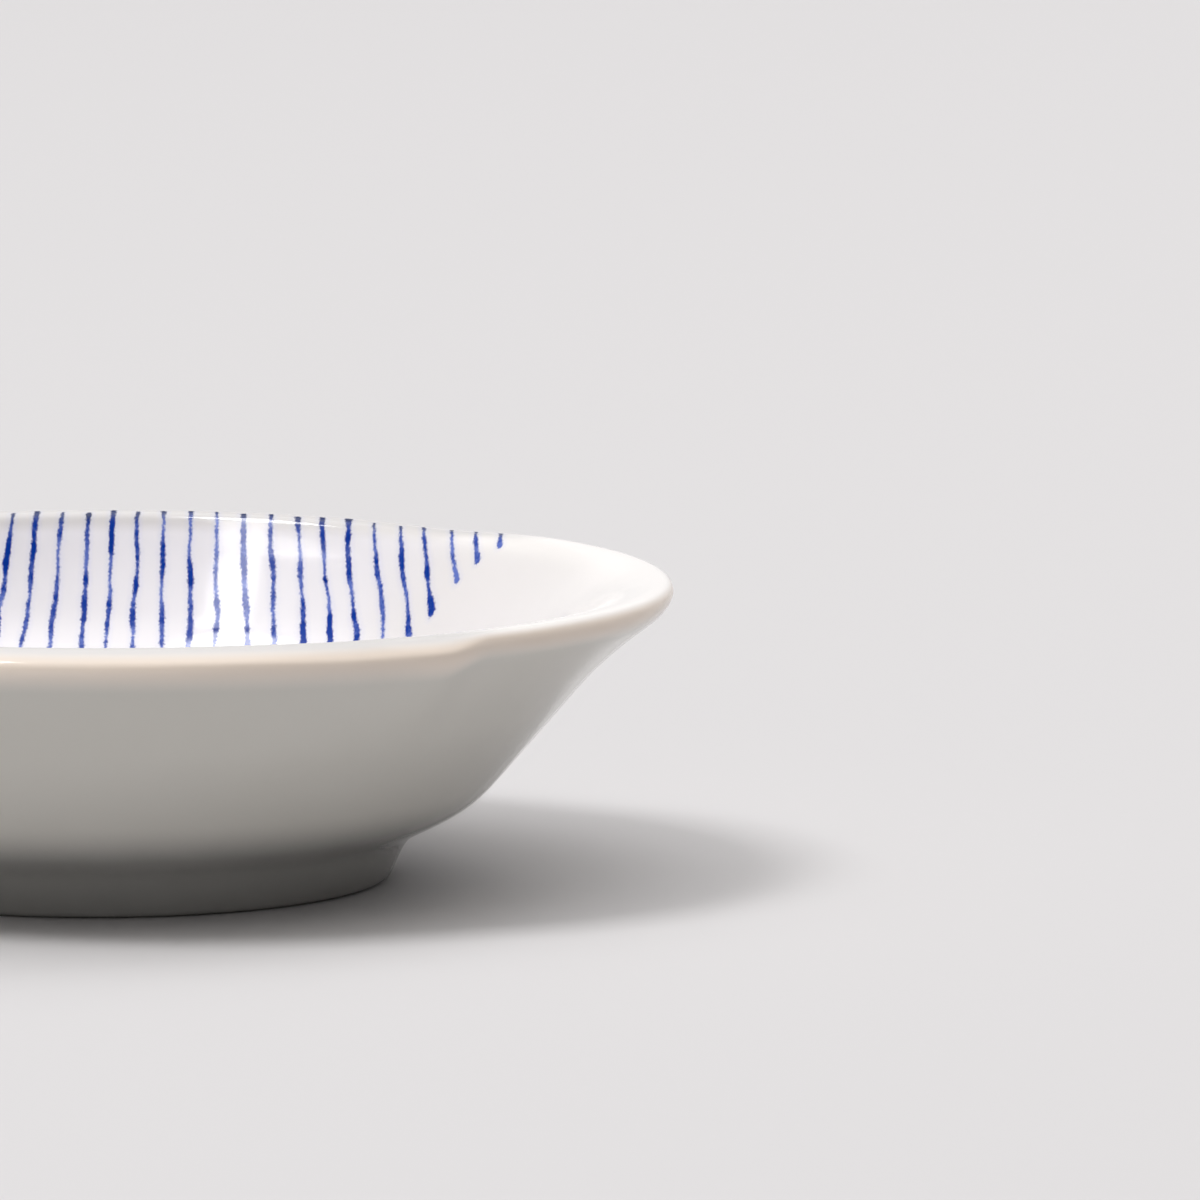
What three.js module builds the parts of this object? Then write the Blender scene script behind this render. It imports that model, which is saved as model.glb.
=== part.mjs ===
// A shallow porcelain side bowl with one broad thumb ear, of the kind set beside a hot pot.
//
// The clay is one fired piece: a round bowl on a turned foot ring, whose wall is pressed
// outwards on one side into a flat, shell-like ear. The inside carries hand-brushed cobalt
// lines that run square to the ear and stop short of it, and each line is a mesh of its own.
//
// Millimetres, +Z up. The bowl stands at z = 0, the ear points along +X, and the origin lies
// under the middle of the overall length, so the foot ring's centre is a little behind it.

import * as THREE from "three";

const FOOT_CENTRE_X = -4.7;

// Foot ring
const FOOT_INNER_RADIUS = 36.2;
const FOOT_OUTER_RADIUS = 40.4;
const FOOT_INNER_EDGE = 0.5;
const FOOT_OUTER_EDGE = 1.0;
const RECESS_HEIGHT = 3.4;
const RECESS_CROWN = 0.3;
const RECESS_ROUND = 2.2;

// Outer wall: three corners of the turned profile, and how far each is rounded. The shoulder
// is left as the faint crease that runs round the bowl.
const NECK = new THREE.Vector2(42.6, 5.9);
const NECK_ROUND = 2.0;
const HIP = new THREE.Vector2(52.1, 10.5);
const HIP_ROUND = 3.5;
const SHOULDER = new THREE.Vector2(64.3, 24.6);

// Inner wall and floor
const INNER_SHOULDER = new THREE.Vector2(60.2, 25.8);
const INNER_HEEL = new THREE.Vector2(45.5, 11.6);
const FLOOR_EDGE = new THREE.Vector2(30, 7.3);
const FLOOR_HEIGHT = 6.8;
const WALL_BOW = 1.8;
const HEEL_BOW = 1.2;

// Rim, measured along the crest of the lip
const RIM_RADIUS = 66.7;
const RIM_SWELL = 2.3;
const RIM_HEIGHT = 41;

// Ear: an arc struck from a point a little way out from the bowl's centre
const EAR_ARC_CENTRE = 16.8;
const EAR_ARC_RADIUS = 60.6;
const EAR_ROOT_ANGLE = 47.5;
const EAR_ROOT_BLEND = 4;
const EAR_ROOT_DIP = 0.25;
const EAR_ROOT_DIP_ANGLE = 5;
const EAR_ROOT_DIP_REACH = 9;

// Lip: a full roll on the round side, sloped outwards, and a thinner edge on the ear. The roll
// runs on a little way past the ear's root before it thins, and is fullest just before it.
// Heights are measured down from the crest.
const ROUND_LIP = { half: 2.6, browIn: 0.15, browDrop: 1.8, browRound: 0.3, noseOut: 0.35, noseDrop: 2.4 };
const EAR_LIP = { half: 1.7, browIn: 0.34, browDrop: 0.7, browRound: 0.55, noseOut: 0.6, noseDrop: 2.6 };
const ROLL_END_ANGLE = 41;
const ROLL_END_BLEND = 3;
const ROLL_SWELL = 0.15;
const ROLL_SWELL_ANGLE = 52;
const ROLL_SWELL_REACH = 12;

// Upper wall: one shape on the round side and another at the ear's tip, and every direction
// between takes its share of both. A bow is how far a curve's control point stands off the
// straight way between its ends.
const ROUND_WALL = {
  underIn: -0.1,
  underDrop: 4.3,
  outerBow: 0.9,
  ledge: 2.1,
  ledgeDrop: 1.6,
  ledgeFullness: 0.7,
  innerBow: 0.9,
};
const EAR_WALL = {
  underIn: 2.7,
  underDrop: 5.0,
  outerBow: -1.3,
  ledge: 7.7,
  ledgeDrop: 2.4,
  ledgeFullness: 0.54,
  innerBow: -2.3,
};

// Brushed lines. Each keeps its place across the bowl, measured at the rim, and the whole set
// spreads a little with depth. The bare field round the ear is a rounded rectangle in plan that
// narrows a little towards the ear's tip.
const LINE_COUNT = 31;
const LINE_PITCH = 3.65;
const FIRST_LINE_X = 47.3;
const LINE_DRIFT = 0.9;
const LINE_DRIFT_PEAK = 10;
const LINE_DRIFT_SPAN = 11;
const LINE_WIDTH = 0.95;
const LINE_TIP_SHARE = 0.6;
const LINE_THICKNESS = 0.3;
const LINE_GAP = 0.3;
const LINE_SPREAD = 0.0045;
const LINE_RIM_GAP = 2.3;
const BARE_CENTRE_X = 58;
const BARE_HALF_LENGTH = 22;
const BARE_HALF_WIDTH = 43.7;
const BARE_TAPER = 0.16;
const BARE_SQUARENESS = 16;

// Facets
const SPOKES = 108;
const CURVE_STEPS = 3;
const LONG_LINE_STEPS = 20;
const SHORT_LINE_STEPS = 7;
const HALVINGS = 24;
const SETTLING_PASSES = 6;

const EAR_REACH = EAR_ARC_CENTRE + EAR_ARC_RADIUS;

const porcelain = new THREE.MeshStandardMaterial({
  name: "glazed_porcelain",
  color: 0xf4f1ee,
  roughness: 0.12,
  metalness: 0,
});

const cobalt = new THREE.MeshStandardMaterial({
  name: "cobalt_pigment",
  color: 0x1d3fa8,
  roughness: 0.2,
  metalness: 0,
});

function mix(a, b, share) {
  return a + (b - a) * share;
}

// Distance of the lip's crest from the bowl's axis in the direction of an angle, in degrees
// from the ear. The round rim swells a little towards the ear, and the ear's arc takes over
// from it in a short, soft step at its root.
function crestRadius(degrees) {
  const angle = THREE.MathUtils.degToRad(degrees);
  const across = EAR_ARC_CENTRE * Math.sin(angle);
  const arc = EAR_ARC_CENTRE * Math.cos(angle) + Math.sqrt(EAR_ARC_RADIUS ** 2 - across ** 2);
  const rootCosine = Math.cos(THREE.MathUtils.degToRad(EAR_ROOT_ANGLE));
  const swell = RIM_SWELL * (Math.max(0, Math.cos(angle)) / rootCosine) ** 2;
  const away = Math.abs(degrees) - EAR_ROOT_ANGLE;
  const round = THREE.MathUtils.smoothstep(away, -EAR_ROOT_BLEND, EAR_ROOT_BLEND);
  return mix(arc, RIM_RADIUS + swell, round);
}

// How much of the ear there is in a direction: 0 on the round wall, 1 at the ear's tip.
function earShare(degrees) {
  return (crestRadius(degrees) - RIM_RADIUS) / (EAR_REACH - RIM_RADIUS);
}

// The rim is level but for a slight dip where the ear leaves it on each side.
function crestHeight(degrees) {
  const away = (Math.abs(degrees) - EAR_ROOT_ANGLE - EAR_ROOT_DIP_ANGLE) / EAR_ROOT_DIP_REACH;
  return RIM_HEIGHT - EAR_ROOT_DIP * Math.exp(-away * away);
}

function mixShapes(a, b, share) {
  const names = Object.keys(a);
  return Object.fromEntries(names.map((name) => [name, mix(a[name], b[name], share)]));
}

// The crest of the lip in a direction, with the shape that the lip and upper wall have there.
function rimAt(degrees) {
  const pastEar = Math.abs(degrees) - ROLL_END_ANGLE;
  const roll = THREE.MathUtils.smoothstep(pastEar, -ROLL_END_BLEND, ROLL_END_BLEND);
  const lip = mixShapes(EAR_LIP, ROUND_LIP, roll);
  const wall = mixShapes(ROUND_WALL, EAR_WALL, earShare(degrees));
  const away = (Math.abs(degrees) - ROLL_SWELL_ANGLE) / ROLL_SWELL_REACH;
  const swell = 1 + ROLL_SWELL * Math.exp(-away * away) * roll;
  lip.noseDrop *= swell;
  lip.browDrop *= swell;
  wall.underDrop *= swell;
  return { crest: crestRadius(degrees), top: crestHeight(degrees), ...lip, ...wall };
}

// Runs straight towards a corner and rounds it on the way to the next one.
function addCorner(path, corner, next, round) {
  const start = path.currentPoint.clone().sub(corner).setLength(round).add(corner);
  const end = next.clone().sub(corner).setLength(round).add(corner);
  path.lineTo(start.x, start.y);
  path.quadraticCurveTo(corner.x, corner.y, end.x, end.y);
}

// Runs in one curve to a point, with a bow to the right of the way.
function addBow(path, end, bow) {
  const start = path.currentPoint;
  const way = end.clone().sub(start).normalize();
  const middle = end.clone().lerp(start, 0.5);
  path.quadraticCurveTo(middle.x + way.y * bow, middle.y - way.x * bow, end.x, end.y);
}

// Foot ring and underside, from the middle of the recess out to the shoulder line.
function addUnderside(path) {
  path.moveTo(0, RECESS_HEIGHT + RECESS_CROWN);
  path.lineTo(FOOT_INNER_RADIUS - RECESS_ROUND, RECESS_HEIGHT);
  path.quadraticCurveTo(FOOT_INNER_RADIUS, RECESS_HEIGHT, FOOT_INNER_RADIUS, FOOT_INNER_EDGE);
  path.lineTo(FOOT_INNER_RADIUS + FOOT_INNER_EDGE, 0);
  path.lineTo(FOOT_OUTER_RADIUS - FOOT_OUTER_EDGE, 0);
  path.quadraticCurveTo(FOOT_OUTER_RADIUS, 0, FOOT_OUTER_RADIUS, FOOT_OUTER_EDGE);
  addCorner(path, NECK, HIP, NECK_ROUND);
  addCorner(path, HIP, SHOULDER, HIP_ROUND);
  path.lineTo(SHOULDER.x, SHOULDER.y);
}

// Upper wall and lip. The round wall stands up from the shoulder, and the ear's flares out.
function addRim(path, rim) {
  const edge = rim.crest + rim.half;
  const brow = edge - rim.browIn;
  addBow(path, new THREE.Vector2(edge - rim.underIn, rim.top - rim.underDrop), rim.outerBow);
  path.quadraticCurveTo(edge + rim.noseOut, rim.top - rim.noseDrop, brow, rim.top - rim.browDrop);
  path.quadraticCurveTo(mix(rim.crest, brow, rim.browRound), rim.top, rim.crest, rim.top);
}

// Inside, from the lip's crest over its inner edge and down the wall to the floor.
function addInside(path, rim) {
  const crown = rim.crest - rim.ledgeFullness * rim.ledge;
  path.quadraticCurveTo(crown, rim.top, rim.crest - rim.ledge, rim.top - rim.ledgeDrop);
  addBow(path, INNER_SHOULDER, -rim.innerBow);
  addBow(path, INNER_HEEL, -WALL_BOW);
  addBow(path, FLOOR_EDGE, -HEEL_BOW);
  path.lineTo(0, FLOOR_HEIGHT);
}

// The bowl's section in the direction of an angle: distance from the axis against height.
function section(degrees) {
  const path = new THREE.Path();
  const rim = rimAt(degrees);
  addUnderside(path);
  addRim(path, rim);
  addInside(path, rim);
  return path.getPoints(CURVE_STEPS);
}

// The bowl is turned from the plain round section, and then each spoke of the turned shape
// takes the section of its own direction, which presses the ear out of the wall.
function bowlGeometry() {
  const geometry = new THREE.LatheGeometry(section(180), SPOKES);
  const position = geometry.getAttribute("position");
  const pointsPerSpoke = position.count / (SPOKES + 1);
  for (let spoke = 0; spoke <= SPOKES; spoke += 1) {
    const turn = (360 * spoke) / SPOKES;
    const degrees = turn > 180 ? turn - 360 : turn;
    const angle = THREE.MathUtils.degToRad(degrees);
    section(degrees).forEach((point, i) => {
      const x = point.x * Math.cos(angle);
      const y = point.x * Math.sin(angle);
      position.setXYZ(spoke * pointsPerSpoke + i, x, y, point.y);
    });
  }
  geometry.deleteAttribute("normal");
  geometry.deleteAttribute("uv");
  return geometry;
}

// The inside of a section alone, from the lip's crest to the axis.
function insideSection(degrees) {
  const path = new THREE.Path();
  const rim = rimAt(degrees);
  path.moveTo(rim.crest, rim.top);
  addInside(path, rim);
  return path.getPoints(CURVE_STEPS);
}

// Height of the inner surface over a point of the plan.
function insideHeight(x, y) {
  const points = insideSection(THREE.MathUtils.radToDeg(Math.atan2(y, x)));
  const radius = Math.hypot(x, y);
  const next = points.findIndex((point) => point.x <= radius);
  if (next <= 0) return points[0].y;
  const outer = points[next - 1];
  const inner = points[next];
  return mix(inner.y, outer.y, (radius - inner.x) / (outer.x - inner.x));
}

function insideNormal(x, y) {
  const reach = 0.8;
  const slopeX = (insideHeight(x + reach, y) - insideHeight(x - reach, y)) / (2 * reach);
  const slopeY = (insideHeight(x, y + reach) - insideHeight(x, y - reach)) / (2 * reach);
  return new THREE.Vector3(-slopeX, -slopeY, 1).normalize();
}

// The point of the inner surface where a line, named by its place at the rim, crosses a depth
// of the plan.
function linePoint(rimX, y) {
  let x = rimX;
  for (let pass = 0; pass < SETTLING_PASSES; pass += 1) {
    x = rimX * (1 + LINE_SPREAD * (RIM_HEIGHT - insideHeight(x, y)));
  }
  return new THREE.Vector3(x, y, insideHeight(x, y));
}

// How far from the middle a line starts, just inside the lip's crest. Halving finds the place.
function lineEnd(rimX) {
  let inside = 0;
  let outside = RIM_RADIUS + RIM_SWELL;
  for (let pass = 0; pass < HALVINGS; pass += 1) {
    const y = (inside + outside) / 2;
    const point = linePoint(rimX, y);
    const degrees = THREE.MathUtils.radToDeg(Math.atan2(point.y, point.x));
    if (Math.hypot(point.x, point.y) < crestRadius(degrees) - LINE_RIM_GAP) {
      inside = y;
    } else {
      outside = y;
    }
  }
  return inside;
}

// Half the width of the bare field round the ear at a place along the bowl.
function bareHalfWidth(x) {
  const along = Math.min(1, Math.abs(x - BARE_CENTRE_X) / BARE_HALF_LENGTH);
  const widest = BARE_HALF_WIDTH - BARE_TAPER * (x - BARE_CENTRE_X);
  return widest * (1 - along ** BARE_SQUARENESS) ** (1 / BARE_SQUARENESS);
}

// Where a line stops at the bare field, or nothing for a line that misses it.
function bareEdge(rimX, end) {
  if (linePoint(rimX, 0).x < BARE_CENTRE_X - BARE_HALF_LENGTH) return null;
  let inside = 0;
  let outside = end;
  for (let pass = 0; pass < HALVINGS; pass += 1) {
    const y = (inside + outside) / 2;
    if (y < bareHalfWidth(linePoint(rimX, y).x)) {
      inside = y;
    } else {
      outside = y;
    }
  }
  return outside;
}

// One brush stroke between two depths of the plan: a thin bar laid on the inner surface. It is
// cut closer at the ends of a long stroke, where the wall is steep, and narrows at its tips.
function strokeGeometry(rimX, fromY, toY, steps) {
  const geometry = new THREE.BoxGeometry(1, 1, 1, steps, 1, 1);
  const position = geometry.getAttribute("position");
  const whereAlong = (share) => mix(fromY, toY, (1 - Math.cos(Math.PI * share)) / 2);
  const nudge = 0.02;
  for (let i = 0; i < position.count; i += 1) {
    const share = position.getX(i) + 0.5;
    const point = linePoint(rimX, whereAlong(share));
    const before = linePoint(rimX, whereAlong(Math.max(0, share - nudge)));
    const after = linePoint(rimX, whereAlong(Math.min(1, share + nudge)));
    const normal = insideNormal(point.x, point.y);
    const across = normal.clone().cross(after.sub(before)).normalize();
    const tip = share <= 0 || share >= 1 ? LINE_TIP_SHARE : 1;
    const height = LINE_GAP + LINE_THICKNESS * (position.getZ(i) + 0.5);
    point.addScaledVector(normal, height);
    point.addScaledVector(across, LINE_WIDTH * tip * position.getY(i));
    position.setXYZ(i, point.x, point.y, point.z);
  }
  geometry.deleteAttribute("normal");
  geometry.deleteAttribute("uv");
  return geometry;
}

function addStroke(group, name, rimX, fromY, toY, steps) {
  const stroke = new THREE.Mesh(strokeGeometry(rimX, fromY, toY, steps), cobalt);
  stroke.name = name;
  group.add(stroke);
}

// The lines, counted from the ear. Those beside the ear are in two strokes, one each side.
function brushedLines() {
  const group = new THREE.Group();
  for (let line = 0; line < LINE_COUNT; line += 1) {
    const swing = Math.cos((Math.PI * (line - LINE_DRIFT_PEAK)) / LINE_DRIFT_SPAN);
    const drift = (LINE_DRIFT / 2) * (1 + swing);
    const rimX = FIRST_LINE_X - LINE_PITCH * line - drift;
    const number = String(line + 1).padStart(2, "0");
    const end = lineEnd(rimX);
    const bare = bareEdge(rimX, end);
    if (bare === null) {
      addStroke(group, `brushed_line_${number}`, rimX, -end, end, LONG_LINE_STEPS);
    } else {
      addStroke(group, `brushed_line_${number}_left`, rimX, bare, end, SHORT_LINE_STEPS);
      addStroke(group, `brushed_line_${number}_right`, rimX, -end, -bare, SHORT_LINE_STEPS);
    }
  }
  return group;
}

const bowl = new THREE.Group();
const body = new THREE.Mesh(bowlGeometry(), porcelain);
body.name = "porcelain_bowl";
bowl.add(body, brushedLines());
bowl.position.x = FOOT_CENTRE_X;

export default bowl;
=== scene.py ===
"""Looks for the shallow porcelain side bowl with a broad thumb ear and brushed cobalt lines."""

import math

import bpy
import numpy as np
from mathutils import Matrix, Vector


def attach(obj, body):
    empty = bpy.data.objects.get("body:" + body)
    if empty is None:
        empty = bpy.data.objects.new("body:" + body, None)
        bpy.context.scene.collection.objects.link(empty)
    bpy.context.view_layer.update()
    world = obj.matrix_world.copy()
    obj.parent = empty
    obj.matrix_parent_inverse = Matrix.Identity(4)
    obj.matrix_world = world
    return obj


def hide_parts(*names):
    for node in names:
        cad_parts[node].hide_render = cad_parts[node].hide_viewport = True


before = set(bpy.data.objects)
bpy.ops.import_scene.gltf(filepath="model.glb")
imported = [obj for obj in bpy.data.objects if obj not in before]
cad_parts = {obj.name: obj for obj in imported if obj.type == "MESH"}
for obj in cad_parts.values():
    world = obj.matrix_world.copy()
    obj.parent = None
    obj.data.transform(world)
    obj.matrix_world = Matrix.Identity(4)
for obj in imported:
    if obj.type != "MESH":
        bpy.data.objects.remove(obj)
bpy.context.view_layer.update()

MM = 0.001

# Foot ring, walls, rim and ear: the same named values as the solid, in millimetres
FOOT_CENTRE_X = -4.7
FOOT_INNER_RADIUS = 36.2
FOOT_OUTER_RADIUS = 40.4
FOOT_INNER_EDGE = 0.5
FOOT_OUTER_EDGE = 1.0
RECESS_HEIGHT = 3.4
RECESS_CROWN = 0.3
RECESS_ROUND = 2.2
NECK = np.array((42.6, 5.9))
NECK_ROUND = 2.0
HIP = np.array((52.1, 10.5))
HIP_ROUND = 3.5
SHOULDER = np.array((64.3, 24.6))
INNER_SHOULDER = np.array((60.2, 25.8))
INNER_HEEL = np.array((45.5, 11.6))
FLOOR_EDGE = np.array((30.0, 7.3))
FLOOR_HEIGHT = 6.8
WALL_BOW = 1.8
HEEL_BOW = 1.2
RIM_RADIUS = 66.7
RIM_SWELL = 2.3
RIM_HEIGHT = 41
EAR_ARC_CENTRE = 16.8
EAR_ARC_RADIUS = 60.6
EAR_ROOT_ANGLE = 47.5
EAR_ROOT_BLEND = 4
EAR_ROOT_DIP = 0.25
EAR_ROOT_DIP_ANGLE = 5
EAR_ROOT_DIP_REACH = 9
EAR_REACH = EAR_ARC_CENTRE + EAR_ARC_RADIUS

# Lip: a full roll on the round side, sloped outwards, and a thinner edge on the ear
ROUND_LIP = {
    "half": 2.6,
    "brow_in": 0.15,
    "brow_drop": 1.8,
    "brow_round": 0.3,
    "nose_out": 0.35,
    "nose_drop": 2.4,
}
EAR_LIP = {
    "half": 1.7,
    "brow_in": 0.34,
    "brow_drop": 0.7,
    "brow_round": 0.55,
    "nose_out": 0.6,
    "nose_drop": 2.6,
}
ROLL_END_ANGLE = 41
ROLL_END_BLEND = 3
ROLL_SWELL = 0.15
ROLL_SWELL_ANGLE = 52
ROLL_SWELL_REACH = 12

# Upper wall, on the round side and at the ear's tip
ROUND_WALL = {
    "under_in": -0.1,
    "under_drop": 4.3,
    "outer_bow": 0.9,
    "ledge": 2.1,
    "ledge_drop": 1.6,
    "ledge_fullness": 0.7,
    "inner_bow": 0.9,
}
EAR_WALL = {
    "under_in": 2.7,
    "under_drop": 5.0,
    "outer_bow": -1.3,
    "ledge": 7.7,
    "ledge_drop": 2.4,
    "ledge_fullness": 0.54,
    "inner_bow": -2.3,
}

# Brushed lines: where each crosses the far rim, counted from the ear, and how they spread
LINE_PLACES = (50.9, 47.3, 43.7, 39.6, 36.3, 32.5, 28.5, 24.9, 21.5, 17.5, 13.7, 9.7, 6.2, 2.4)
LINE_PLACES += (-1.1, -4.6, -7.8, -11.7, -15.1, -18.5)
LINE_PITCH = 3.64
LINE_SPREAD = 0.0045
BARE_CENTRE_X = 58
BARE_HALF_LENGTH = 22
BARE_HALF_WIDTH = 43.7
BARE_TAPER = 0.16
BARE_ROUND = 1.5

# How finely the bowl is cut: spokes round it, steps along each run of its section, from the
# recess round the lip to the inside floor, and how often the section's corners are eased
SPOKES = 300
RECESS_STEPS = 16
RECESS_ROUND_STEPS = 8
FOOT_INNER_EDGE_STEPS = 3
FOOT_STEPS = 5
FOOT_OUTER_EDGE_STEPS = 5
NECK_STEPS = 6
HIP_STEPS = 8
LOWER_WALL_STEPS = 16
UPPER_WALL_STEPS = 18
NOSE_STEPS = 10
BROW_STEPS = 6
LEDGE_STEPS = 12
INNER_RIM_STEPS = 20
INNER_WALL_STEPS = 16
HEEL_STEPS = 10
FLOOR_STEPS = 16
EASING_PASSES = 5


def mix(a, b, share):
    return a + (b - a) * share


def smoothstep(value, low, high):
    share = min(1.0, max(0.0, (value - low) / (high - low)))
    return share * share * (3 - 2 * share)


def crest_radius(degrees):
    """How far out the lip's crest lies: a wide arc on the ear and a round rim elsewhere."""
    angle = math.radians(degrees)
    across = EAR_ARC_CENTRE * math.sin(angle)
    arc = EAR_ARC_CENTRE * math.cos(angle) + math.sqrt(EAR_ARC_RADIUS**2 - across**2)
    root_cosine = math.cos(math.radians(EAR_ROOT_ANGLE))
    swell = RIM_SWELL * (max(0.0, math.cos(angle)) / root_cosine) ** 2
    away = abs(degrees) - EAR_ROOT_ANGLE
    return mix(arc, RIM_RADIUS + swell, smoothstep(away, -EAR_ROOT_BLEND, EAR_ROOT_BLEND))


def ear_share(degrees):
    """How much of the ear's shape the section has in one direction, from none to all."""
    return (crest_radius(degrees) - RIM_RADIUS) / (EAR_REACH - RIM_RADIUS)


def crest_height(degrees):
    """Height of the lip's crest, which dips a little beside the ear's root."""
    away = (abs(degrees) - EAR_ROOT_ANGLE - EAR_ROOT_DIP_ANGLE) / EAR_ROOT_DIP_REACH
    return RIM_HEIGHT - EAR_ROOT_DIP * math.exp(-away * away)


def mix_shapes(a, b, share):
    return {name: mix(a[name], b[name], share) for name in a}


def rim_at(degrees):
    """The shape that the lip and the upper wall have in one direction."""
    roll = smoothstep(abs(degrees) - ROLL_END_ANGLE, -ROLL_END_BLEND, ROLL_END_BLEND)
    rim = mix_shapes(EAR_LIP, ROUND_LIP, roll)
    rim |= mix_shapes(ROUND_WALL, EAR_WALL, ear_share(degrees))
    away = (abs(degrees) - ROLL_SWELL_ANGLE) / ROLL_SWELL_REACH
    for name in ("nose_drop", "brow_drop", "under_drop"):
        rim[name] *= 1 + ROLL_SWELL * math.exp(-away * away) * roll
    return rim


class Section:
    """A profile of straight and curved runs, each cut into its own number of steps."""

    def __init__(self, x, y):
        self.points = [np.array((x, y))]

    def line(self, x, y, steps):
        start, end = self.points[-1], np.array((x, y))
        self.points += [mix(start, end, i / steps) for i in range(1, steps + 1)]

    def curve(self, cx, cy, x, y, steps):
        start, control, end = self.points[-1], np.array((cx, cy)), np.array((x, y))
        for i in range(1, steps + 1):
            t = i / steps
            self.points.append(mix(mix(start, control, t), mix(control, end, t), t))

    def corner(self, corner, following, size, steps):
        """Runs straight towards a corner and rounds it on the way to the next one."""
        back, on = self.points[-1] - corner, following - corner
        start = corner + back / np.linalg.norm(back) * size
        end = corner + on / np.linalg.norm(on) * size
        self.line(*start, steps)
        self.curve(*corner, *end, steps)

    def bow(self, end, size, steps):
        """Runs in one curve to a point, with a bow to the right of the way."""
        start = self.points[-1]
        way = (end - start) / np.linalg.norm(end - start)
        self.curve(*(mix(start, end, 0.5) + size * np.array((way[1], -way[0]))), *end, steps)


def underside():
    """Foot ring and lower wall, from the middle of the recess out to the shoulder line."""
    s = Section(0, RECESS_HEIGHT + RECESS_CROWN)
    inner, outer = FOOT_INNER_RADIUS, FOOT_OUTER_RADIUS
    s.line(inner - RECESS_ROUND, RECESS_HEIGHT, RECESS_STEPS)
    s.curve(inner, RECESS_HEIGHT, inner, FOOT_INNER_EDGE, RECESS_ROUND_STEPS)
    s.line(inner + FOOT_INNER_EDGE, 0, FOOT_INNER_EDGE_STEPS)
    s.foot_first = len(s.points) - 1
    s.line(outer - FOOT_OUTER_EDGE, 0, FOOT_STEPS)
    s.foot_last = len(s.points) - 1
    s.curve(outer, 0, outer, FOOT_OUTER_EDGE, FOOT_OUTER_EDGE_STEPS)
    s.corner(NECK, HIP, NECK_ROUND, NECK_STEPS)
    s.corner(HIP, SHOULDER, HIP_ROUND, HIP_STEPS)
    s.line(*SHOULDER, LOWER_WALL_STEPS)
    return s


def section(degrees):
    """The bowl's section in one direction, from the recess round the lip to the inside floor."""
    rim = rim_at(degrees)
    crest, top = crest_radius(degrees), crest_height(degrees)
    edge = crest + rim["half"]
    brow = edge - rim["brow_in"]
    s = underside()
    under = np.array((edge - rim["under_in"], top - rim["under_drop"]))
    s.bow(under, rim["outer_bow"], UPPER_WALL_STEPS)
    nose = (edge + rim["nose_out"], top - rim["nose_drop"])
    s.curve(*nose, brow, top - rim["brow_drop"], NOSE_STEPS)
    s.curve(mix(crest, brow, rim["brow_round"]), top, crest, top, BROW_STEPS)
    s.crest = len(s.points) - 1
    ledge, fullness = rim["ledge"], rim["ledge_fullness"]
    s.curve(crest - fullness * ledge, top, crest - ledge, top - rim["ledge_drop"], LEDGE_STEPS)
    s.bow(INNER_SHOULDER, -rim["inner_bow"], INNER_RIM_STEPS)
    s.bow(INNER_HEEL, -WALL_BOW, INNER_WALL_STEPS)
    s.bow(FLOOR_EDGE, -HEEL_BOW, HEEL_STEPS)
    s.line(0, FLOOR_HEIGHT, FLOOR_STEPS)
    return s


def softened(points, passes):
    """Thrown clay has no sharp creases, so the section's corners are eased a little."""
    out = points.copy()
    for _ in range(passes):
        out[1:-1] = 0.5 * out[1:-1] + 0.25 * (out[:-2] + out[2:])
    return out


def bowl_sections():
    """All sections, spoke by spoke, as an array of spoke, point and (x, y, z)."""
    grid = []
    for spoke in range(SPOKES):
        turn = 360 * spoke / SPOKES
        degrees = turn - 360 if turn > 180 else turn
        out, up = softened(np.array(section(degrees).points), EASING_PASSES).T
        angle = math.radians(degrees)
        grid.append(np.stack([out * math.cos(angle), out * math.sin(angle), up], 1))
    return np.array(grid)


def bowl_mesh():
    """The mesh, with its points in millimetres and the place of each along its section."""
    grid = bowl_sections()
    spokes, count, _ = grid.shape
    inner = count - 2
    verts = [tuple(grid[0, 0]), tuple(grid[0, -1])]
    verts += [tuple(p) for s in grid[:, 1:-1] for p in s]
    faces = []
    for s in range(spokes):
        a, b = 2 + s * inner, 2 + ((s + 1) % spokes) * inner
        faces.append((0, a, b)[::-1])
        faces.append((1, b + inner - 1, a + inner - 1)[::-1])
        faces += [(a + i, a + i + 1, b + i + 1, b + i)[::-1] for i in range(inner - 1)]
    mesh = bpy.data.meshes.new("glazed_bowl")
    mesh.from_pydata([((x + FOOT_CENTRE_X) * MM, y * MM, z * MM) for x, y, z in verts], [], faces)
    mesh.polygons.foreach_set("use_smooth", [True] * len(faces))
    index = np.concatenate([[0, count - 1], np.tile(np.arange(1, count - 1), spokes)])
    return mesh, np.array(verts), index


def line_number(verts):
    """Which line a point lies on, as a number that is whole in the middle of each line."""
    rim_x = verts[:, 0] / (1 + LINE_SPREAD * (RIM_HEIGHT - verts[:, 2]))
    known = np.array(LINE_PLACES)[::-1]
    number = np.interp(rim_x, known, np.arange(len(known))[::-1])
    beyond = np.where(rim_x > known[-1], (known[-1] - rim_x) / LINE_PITCH, 0)
    before = np.where(rim_x < known[0], (known[0] - rim_x) / LINE_PITCH, 0)
    return number + beyond + before


def bare_margin(verts):
    """Distance from the bare field round the ear, in millimetres, positive where painted."""
    along = verts[:, 0] - BARE_CENTRE_X
    past_side = np.abs(along) - BARE_HALF_LENGTH
    past_end = np.abs(verts[:, 1]) - (BARE_HALF_WIDTH - BARE_TAPER * along)
    return BARE_ROUND * np.logaddexp(past_side / BARE_ROUND, past_end / BARE_ROUND)


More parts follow.
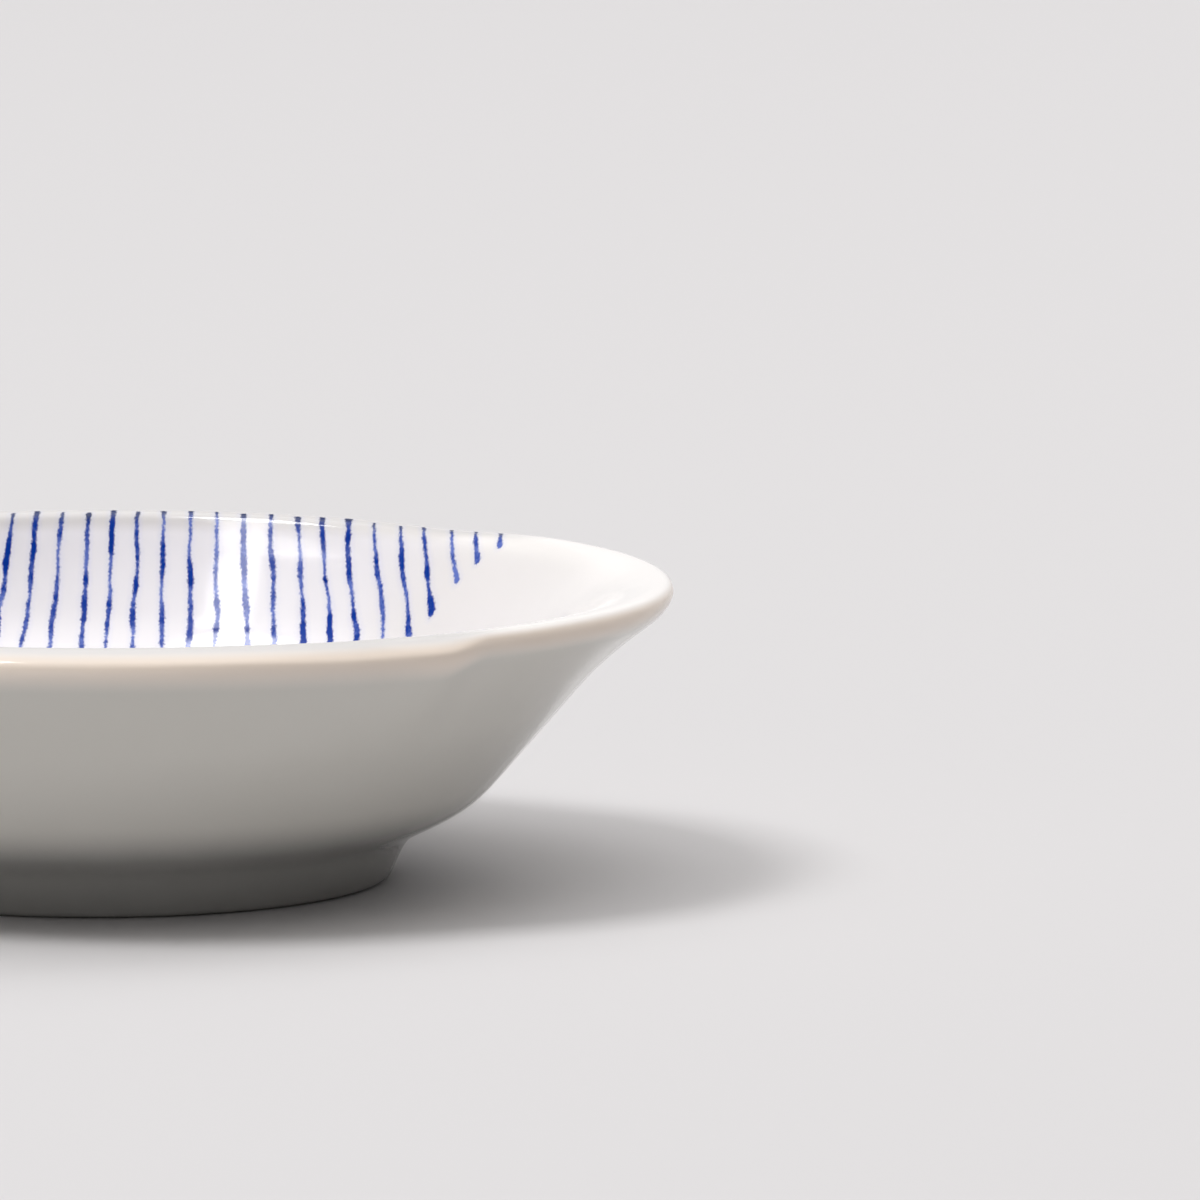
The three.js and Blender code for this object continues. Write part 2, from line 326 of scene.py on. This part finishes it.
def crest_margin(verts, inside):
    """Distance from the lip's crest, in millimetres, negative outside and stretched by a thin lip."""
    azimuth = np.degrees(np.arctan2(verts[:, 1], verts[:, 0]))
    crest = np.array([crest_radius(a) for a in azimuth])
    top = np.array([crest_height(a) for a in azimuth])
    lip_half = np.array([rim_at(a)["half"] for a in azimuth])
    away = np.hypot(np.hypot(verts[:, 0], verts[:, 1]) - crest, verts[:, 2] - top)
    return np.where(inside, away, -away * ROUND_LIP["half"] / lip_half)


def glazed_bowl():
    """The bowl, with the fields that its finish is laid on by."""
    mesh, verts, index = bowl_mesh()
    profile = section(180)
    fields = {
        "line_number": line_number(verts),
        "bare_margin": bare_margin(verts),
        "crest_margin": crest_margin(verts, index >= profile.crest),
        "foot_zone": (index >= profile.foot_first) & (index <= profile.foot_last),
    }
    for name, values in fields.items():
        layer = mesh.attributes.new(name, "FLOAT", "POINT")
        layer.data.foreach_set("value", np.asarray(values, np.float32))
    bowl = bpy.data.objects.new("glazed_bowl", mesh)
    bpy.context.scene.collection.objects.link(bowl)
    return bowl


class Nodes:
    """Small helper for building node trees."""

    def __init__(self, owner):
        owner.use_nodes = True
        self.tree = owner.node_tree
        self.tree.nodes.clear()

    def node(self, kind, **values):
        made = self.tree.nodes.new(kind)
        for key, value in values.items():
            setattr(made, key, value)
        return made

    def link(self, source, target):
        self.tree.links.new(source, target)

    def feed(self, socket, value):
        if isinstance(value, bpy.types.NodeSocket):
            self.link(value, socket)
        else:
            socket.default_value = value

    def math(self, operation, *values):
        made = self.node("ShaderNodeMath", operation=operation)
        for socket, value in zip(made.inputs, values):
            self.feed(socket, value)
        return made.outputs[0]

    def add(self, a, b):
        return self.math("ADD", a, b)

    def less(self, a, b):
        return self.math("SUBTRACT", a, b)

    def times(self, a, b):
        return self.math("MULTIPLY", a, b)

    def over_zero(self, a):
        return self.math("MAXIMUM", a, 0.0)

    def swing(self, noise, size):
        """Turns a noise into a value that goes up and down from zero."""
        return self.times(self.less(noise, 0.5), size)

    def vector(self, x, y, z):
        made = self.node("ShaderNodeCombineXYZ")
        for socket, value in zip(made.inputs, (x, y, z)):
            self.feed(socket, value)
        return made.outputs[0]

    def split(self, vector):
        made = self.node("ShaderNodeSeparateXYZ")
        self.link(vector, made.inputs[0])
        return made.outputs

    def attribute(self, name):
        return self.node("ShaderNodeAttribute", attribute_name=name).outputs["Fac"]

    def ramp(self, value, name):
        """A smooth change from one value to another, as the table of ramps gives it."""
        made = self.node("ShaderNodeMapRange", interpolation_type="SMOOTHSTEP")
        self.link(value, made.inputs["Value"])
        for socket, number in zip(("From Min", "From Max", "To Min", "To Max"), RAMPS[name]):
            made.inputs[socket].default_value = number
        return made.outputs["Result"]

    def noise(self, vector, name):
        made = self.node("ShaderNodeTexNoise")
        self.link(vector, made.inputs["Vector"])
        for socket, number in zip(("Scale", "Detail", "Roughness"), NOISES[name]):
            made.inputs[socket].default_value = number
        return made.outputs["Fac"]

    def blend(self, share, a, b):
        """Mix of two colours."""
        made = self.node("ShaderNodeMix", data_type="RGBA", clamp_factor=True)
        self.feed(made.inputs["Factor"], share)
        self.feed(made.inputs["A"], a)
        self.feed(made.inputs["B"], b)
        return made.outputs["Result"]


# Colours as they show on screen
PALETTE = {
    "thin_pigment": (0.46, 0.54, 0.84),
    "full_pigment": (0.004, 0.215, 0.61),
    "pooled_pigment": (0.0, 0.12, 0.47),
    "pigment_at_lip": (0.06, 0.12, 0.24),
    "bled_pigment": (0.62, 0.68, 0.93),
    # a warm tint on the ear, set darker as painted shade, and a cool tint among the lines, set
    # lighter as painted light
    "warm_white_and_painted_shade": (0.955, 0.94, 0.93),
    "cool_white_and_painted_light": (0.982, 0.971, 0.977),
    # painted shade on the lip's top, which catches the most light: a band round the crest and a
    # darker one at its brow
    "lip": (0.895, 0.88, 0.87),
    "brow": (0.84, 0.828, 0.825),
    # painted shade: the outer wall's white is greyed for the shade that falls on it
    "outside": (0.835, 0.825, 0.797),
    # painted shade, deepest low on the wall towards the foot
    "painted_shade_at_hip": (0.68, 0.675, 0.66),
    "ochre": (0.945, 0.882, 0.82),
    "mottle": (0.86, 0.85, 0.84),
    "clay": (0.88, 0.855, 0.82),
    "kiln_grit": (0.72, 0.67, 0.6),
    "paper": (0.797, 0.79, 0.794),
    "dome": (1.0, 0.995, 0.99),
    "backdrop": (0.9, 0.894, 0.898),
}

# Noises as scale, detail and roughness: per millimetre along a stroke, per metre on the body
NOISES = {
    "drift": (0.09, 1.0, 0.5),
    "shake": (0.4, 2.0, 0.5),
    "load": (0.13, 2.0, 0.55),
    "pool": (0.3, 2.0, 0.6),
    "line_end": (3.7, 0.0, 0.5),
    "rim_start": (2.3, 0.0, 0.5),
    "grain": (2800.0, 2.0, 0.7),
    "mottle": (60.0, 3.0, 0.5),
    "grit": (1800.0, 3.0, 0.7),
    "sheen": (90.0, 3.0, 0.5),
    "waves": (45.0, 2.0, 0.4),
    "orange_peel": (420.0, 2.0, 0.5),
}

# Ramps as start, end, value at the start and value at the end: lengths are in millimetres, and
# the crest margin is positive inside the bowl and negative outside
RAMPS = {
    "half_width_by_load": (0.35, 0.65, 0.21, 0.43),
    "half_width_by_pool": (0.55, 0.75, 0.0, 0.13),
    "half_width_by_end": (0.0, 2.2, 0.16, 0.0),
    "rim_start_on_near_side": (10.0, -10.0, 0.0, 1.4),
    "painted": (-0.17, 0.15, 1.0, 0.0),
    "bleed": (-0.1, 1.0, 0.12, 0.0),
    "strength": (0.32, 0.62, 0.25, 1.0),
    "pooled": (0.6, 0.78, 0.0, 0.7),
    "tip": (0.0, 2.2, 0.8, 0.0),
    "field_from_bare": (0.0, 9.0, 0.0, 1.0),
    "field_from_crest": (0.5, 3.0, 0.0, 1.0),
    "off_the_ear": (-2.0, 6.0, 0.0, 1.0),
    # bands of painted shade round the lip's crest
    "lip_inside": (4.0, 2.0, 0.0, 1.0),
    "lip_outside": (-4.0, -2.4, 0.0, 1.0),
    "brow_inside": (3.0, 1.2, 0.0, 1.0),
    "brow_outside": (-2.0, -0.6, 0.0, 1.0),
    "ochre_from_lip": (-1.0, -3.0, 0.0, 0.9),
    "ochre_from_wall": (-6.5, -3.4, 0.0, 1.0),
    "outside": (-2.8, -6.5, 0.0, 1.0),
    # painted shade: from the hip down towards the foot
    "painted_shade_at_hip": (15.0, 8.5, 0.0, 1.0),
    "mottle": (0.35, 0.75, 0.0, 0.08),
    "grit": (0.45, 0.75, 0.0, 1.0),
    "bare_clay": (0.4, 0.6, 0.0, 1.0),
    "relief_off_the_lip": (1.5, 6.0, 0.0, 1.0),
    "backdrop": (0.1, 0.5, 1.0, 0.0),
}

# Strokes: where the first one begins, how far the hand strays, how ragged the edges and ends
# are, and the numbers that keep one line's noises apart from another's
BEFORE_FIRST_LINE = -0.5
STROKE_CLIMB = 0.8
STROKE_DRIFT = 1.3
STROKE_SHAKE = 0.3
STROKE_GRAIN = 0.62
END_RAGGED = 1.6
END_ROUNDNESS = 1.5
RIM_START_LEAST = 0.1
RIM_START_SPREAD = 1.6
WET_BY_POOL = 0.8
WET_BY_GRAIN = 0.35
HAND_SEED = 7.31
POOL_SEED = 3.17
POOL_LAYER = 5.0
END_LAYER = (0.0, 9.0)
RIM_START_LAYER = (4.0, 2.0)

# Surface of the glaze and of the bare clay
GLAZE_IOR = 1.5
GLAZE_ROUGHNESS = 0.075
SHEEN_ROUGHNESS = 0.05
CLAY_ROUGHNESS = 0.55
ORANGE_PEEL_RELIEF = 0.03
PIGMENT_RELIEF = 0.006
GRIT_RELIEF = 0.12
RELIEF_STRENGTH = 0.35
RELIEF_DEPTH = 0.0006


def colour(name):
    """A colour of the palette, turned into linear light."""
    linear = [c / 12.92 if c <= 0.04045 else ((c + 0.055) / 1.055) ** 2.4 for c in PALETTE[name]]
    return (*linear, 1.0)


def brushed_lines(n, at):
    """How fully a point is painted, how much pigment bled there, and the pigment's colour."""
    number, bare, crest = at["line_number"], at["bare_margin"], at["crest_margin"]

    # Each line has its own number, which seeds how the hand moved along it
    line = n.math("ROUND", number)
    travel = n.add(at["along"], n.times(at["height"], STROKE_CLIMB))
    hand = n.vector(n.times(line, HAND_SEED), travel, 0.0)
    drift = n.swing(n.noise(hand, "drift"), STROKE_DRIFT)
    shake = n.swing(n.noise(hand, "shake"), STROKE_SHAKE)
    across = n.times(n.less(number, line), LINE_PITCH)
    across = n.math("ABSOLUTE", n.less(across, n.add(drift, shake)))

    # Where the brush was full the line is wide and dark, and it pales as the brush runs dry
    load = n.noise(hand, "load")
    pool = n.noise(n.vector(n.times(line, POOL_SEED), travel, POOL_LAYER), "pool")
    grain = n.noise(at["place"], "grain")
    half_width = n.add(n.ramp(load, "half_width_by_load"), n.ramp(pool, "half_width_by_pool"))

    # A line ends round, with a small pool of pigment, at the bare field and at the lip
    end = n.swing(n.noise(n.vector(line, *END_LAYER), "line_end"), END_RAGGED)
    rim_noise = n.noise(n.vector(line, *RIM_START_LAYER), "rim_start")
    rim_start = n.add(n.times(rim_noise, RIM_START_SPREAD), RIM_START_LEAST)
    rim_start = n.add(rim_start, n.ramp(at["along"], "rim_start_on_near_side"))
    over_bare = n.over_zero(n.less(end, bare))
    over_lip = n.over_zero(n.less(rim_start, crest))
    over = n.times(n.math("MAXIMUM", over_bare, over_lip), END_ROUNDNESS)
    reach = n.math("SQRT", n.add(n.math("POWER", across, 2.0), n.math("POWER", over, 2.0)))
    half_width = n.add(half_width, n.ramp(n.less(bare, end), "half_width_by_end"))
    outside_line = n.less(reach, n.add(half_width, n.swing(grain, STROKE_GRAIN)))
    on_a_line = n.math("GREATER_THAN", number, BEFORE_FIRST_LINE)
    painted = n.times(n.ramp(outside_line, "painted"), on_a_line)
    bleed = n.times(n.ramp(outside_line, "bleed"), on_a_line)

    # Strength of the pigment
    wet = n.add(n.add(load, n.swing(pool, WET_BY_POOL)), n.swing(grain, WET_BY_GRAIN))
    pigment = n.blend(n.ramp(wet, "strength"), colour("thin_pigment"), colour("full_pigment"))
    pigment = n.blend(n.ramp(pool, "pooled"), pigment, colour("pooled_pigment"))
    pigment = n.blend(n.ramp(n.less(crest, rim_start), "tip"), pigment, colour("pigment_at_lip"))
    return painted, bleed, pigment


def white_glaze(n, at):
    """The glaze's white: a cool tint with painted light among the lines, a warm one with painted
    shade on the ear, painted shade on the lip's top, on the outer wall and deeper at the hip, and
    ochre under the lip.
    """
    bare, crest = at["bare_margin"], at["crest_margin"]
    # The cool tint among the lines carries painted light and the ear's warm tint painted shade
    field = n.times(n.ramp(bare, "field_from_bare"), n.ramp(crest, "field_from_crest"))
    white = n.blend(field, colour("warm_white_and_painted_shade"), colour("cool_white_and_painted_light"))
    # Painted shade: the lip's top, where the most light falls, is greyed in two bands, off the ear
    off_the_ear = n.ramp(bare, "off_the_ear")
    for part in ("lip", "brow"):
        band = n.times(n.ramp(crest, part + "_inside"), n.ramp(crest, part + "_outside"))
        white = n.blend(n.times(band, off_the_ear), white, colour(part))
    # Painted shade: the outer wall is greyed where it faces away from the light
    outside = n.ramp(crest, "outside")
    white = n.blend(outside, white, colour("outside"))
    # Painted shade: greyer still from the hip down, where the bowl shades itself and the floor
    # beneath it
    white = n.blend(n.times(outside, n.ramp(at["height"], "painted_shade_at_hip")), white, colour("painted_shade_at_hip"))
    ochre = n.times(n.ramp(crest, "ochre_from_lip"), n.ramp(crest, "ochre_from_wall"))
    white = n.blend(ochre, white, colour("ochre"))
    return n.blend(n.ramp(n.noise(at["place"], "mottle"), "mottle"), white, colour("mottle"))


def relief_normal(n, at, painted, bare_clay, grit):
    """Long soft waves of glaze, finer where it ran over the pigment, and grit on the bare clay."""
    orange_peel = n.noise(at["place"], "orange_peel")
    relief = n.add(n.noise(at["place"], "waves"), n.times(orange_peel, ORANGE_PEEL_RELIEF))
    relief = n.add(relief, n.times(painted, PIGMENT_RELIEF))
    from_crest = n.math("ABSOLUTE", at["crest_margin"])
    relief = n.times(relief, n.ramp(from_crest, "relief_off_the_lip"))
    relief = n.add(relief, n.times(n.times(bare_clay, grit), GRIT_RELIEF))
    bump = n.node("ShaderNodeBump")
    bump.inputs["Strength"].default_value = RELIEF_STRENGTH
    bump.inputs["Distance"].default_value = RELIEF_DEPTH
    n.link(relief, bump.inputs["Height"])
    return bump.outputs[0]


def porcelain_material():
    material = bpy.data.materials.new("glazed_porcelain_brushed_cobalt")
    n = Nodes(material)
    place = n.node("ShaderNodeTexCoord").outputs["Object"]
    metres = n.split(place)
    fields = ("line_number", "bare_margin", "crest_margin", "foot_zone")
    at = {name: n.attribute(name) for name in fields}
    at["place"] = place
    at["along"] = n.times(metres["Y"], 1 / MM)
    at["height"] = n.times(metres["Z"], 1 / MM)

    painted, bleed, pigment = brushed_lines(n, at)
    white = n.blend(bleed, white_glaze(n, at), colour("bled_pigment"))
    glazed = n.blend(painted, white, pigment)

    # Bare clay on the foot ring, with the grit that a kiln shelf leaves
    grit = n.noise(place, "grit")
    clay = n.blend(n.ramp(grit, "grit"), colour("clay"), colour("kiln_grit"))
    bare_clay = n.ramp(at["foot_zone"], "bare_clay")

    roughness = n.add(n.times(n.noise(place, "sheen"), SHEEN_ROUGHNESS), GLAZE_ROUGHNESS)
    roughness = n.add(roughness, n.times(bare_clay, CLAY_ROUGHNESS))
    shader = n.node("ShaderNodeBsdfPrincipled")
    shader.inputs["IOR"].default_value = GLAZE_IOR
    n.link(n.blend(bare_clay, glazed, clay), shader.inputs["Base Color"])
    n.link(roughness, shader.inputs["Roughness"])
    n.link(relief_normal(n, at, painted, bare_clay, grit), shader.inputs["Normal"])
    n.link(shader.outputs[0], n.node("ShaderNodeOutputMaterial").inputs["Surface"])
    return material


bowl = glazed_bowl()
bowl.data.materials.append(porcelain_material())
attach(bowl, "root")
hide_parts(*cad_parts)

# Studio, in metres: the paper lies a hair under the foot so that the two never touch
PAPER_SIDE = 9.0
PAPER_DROP = 0.00005
PAPER_ROUGHNESS = 0.85
PAPER_SPECULAR = 0.1
BOWL_PLACE = (0, 0, 0.02)
DOME_STRENGTH = 1.52
DOME_FALLOFF = 3.0
BACKDROP_RISE = 0.2
CAMERA_PLACE = (0.40855, -3.93179, 0.60849)
CAMERA_TARGET = (0.063265, 0.012091, 0.037009)
CAMERA_LENS = 875.9
CAMERA_SENSOR = 36
CAMERA_CLIP = (0.5, 40)


def studio_floor():
    """A plain pale sweep under the bowl."""
    side = PAPER_SIDE
    mesh = bpy.data.meshes.new("studio_floor")
    corners = [(-side, -side, 0), (side, -side, 0), (side, side, 0), (-side, side, 0)]
    mesh.from_pydata(corners, [], [(0, 1, 2, 3)])
    floor = bpy.data.objects.new("studio_floor", mesh)
    floor.location = (0, 0, -PAPER_DROP)
    bpy.context.scene.collection.objects.link(floor)
    material = bpy.data.materials.new("pale_paper")
    n = Nodes(material)
    shader = n.node("ShaderNodeBsdfPrincipled")
    shader.inputs["Base Color"].default_value = colour("paper")
    shader.inputs["Roughness"].default_value = PAPER_ROUGHNESS
    shader.inputs["Specular IOR Level"].default_value = PAPER_SPECULAR
    n.link(shader.outputs[0], n.node("ShaderNodeOutputMaterial").inputs["Surface"])
    mesh.materials.append(material)


def aimed(name, data, place, target):
    """Puts a lamp or the camera in the scene, turned towards its target."""
    made = bpy.data.objects.new(name, data)
    made.location = place
    made.rotation_euler = (Vector(target) - Vector(place)).to_track_quat("-Z", "Y").to_euler()
    bpy.context.scene.collection.objects.link(made)
    return made


def area_lamp(name, place, width, height, power):
    lamp = bpy.data.lights.new(name, "AREA")
    lamp.shape = "RECTANGLE"
    lamp.size, lamp.size_y = width, height
    lamp.energy = power
    return aimed(name, lamp, place, BOWL_PLACE)


def from_front(azimuth, elevation, distance):
    """A place seen from the bowl, with the azimuth counted from the front, to the right."""
    side, up = math.radians(azimuth), math.radians(elevation)
    level = distance * math.cos(up)
    return (level * math.sin(side), -level * math.cos(side), distance * math.sin(up))


def world_light():
    """A soft dome, brightest overhead, with a pale backdrop that the eye and the glaze see."""
    world = bpy.data.worlds.new("studio")
    bpy.context.scene.world = world
    n = Nodes(world)
    direction = n.split(n.node("ShaderNodeTexCoord").outputs["Generated"])
    dome = n.node("ShaderNodeBackground")
    dome.inputs["Color"].default_value = colour("dome")
    up = n.math("POWER", n.over_zero(direction["Z"]), DOME_FALLOFF)
    n.link(n.times(up, DOME_STRENGTH), dome.inputs["Strength"])
    seen = n.node("ShaderNodeBackground")
    seen.inputs["Color"].default_value = colour("backdrop")
    path = n.node("ShaderNodeLightPath").outputs
    height = n.less(direction["Z"], n.times(direction["Y"], BACKDROP_RISE))
    mirrored = n.times(path["Is Glossy Ray"], n.ramp(height, "backdrop"))
    mixed = n.node("ShaderNodeMixShader")
    n.link(n.math("MAXIMUM", path["Is Camera Ray"], mirrored), mixed.inputs[0])
    n.link(dome.outputs[0], mixed.inputs[1])
    n.link(seen.outputs[0], mixed.inputs[2])
    n.link(mixed.outputs[0], n.node("ShaderNodeOutputWorld").inputs["Surface"])


def lamps():
    """Soft light from above and behind, and window panes that only the glaze mirrors."""
    area_lamp("key_softbox", (-1.15, -0.72, 2.78), 1.0, 1.0, 41.0)
    area_lamp("overhead", (0.0, 0.3, 2.9), 2.6, 2.6, 14.0)
    area_lamp("back_right", (1.4, 1.7, 2.0), 1.6, 1.6, 21.0).visible_glossy = False
    area_lamp("back", (0.2, 2.6, 1.4), 2.0, 1.4, 5.4).visible_glossy = False
    for name, azimuth, elevation, width, height, power, lean in (
        ("window", -33.5, 38, 0.42, 1.33, 10.0, 12),
        ("window_fade", -39.5, 38, 0.9, 1.33, 3.2, 12),
        ("window_sill", -47.5, 22.4, 1.0, 0.05, 1.3, 0),
    ):
        pane = area_lamp(name, from_front(azimuth, elevation, 2.2), width, height, power)
        pane.rotation_euler.rotate_axis("Z", math.radians(lean))
        pane.visible_diffuse = False
    area_lamp("front_fill", from_front(-10, 14, 2.6), 2.0, 0.7, 3.4).visible_glossy = False


def camera():
    data = bpy.data.cameras.new("camera")
    data.sensor_width = CAMERA_SENSOR
    data.lens = CAMERA_LENS
    data.clip_start, data.clip_end = CAMERA_CLIP
    bpy.context.scene.camera = aimed("camera", data, CAMERA_PLACE, CAMERA_TARGET)


studio_floor()
world_light()
lamps()
camera()
bpy.context.scene.view_settings.view_transform = "Standard"
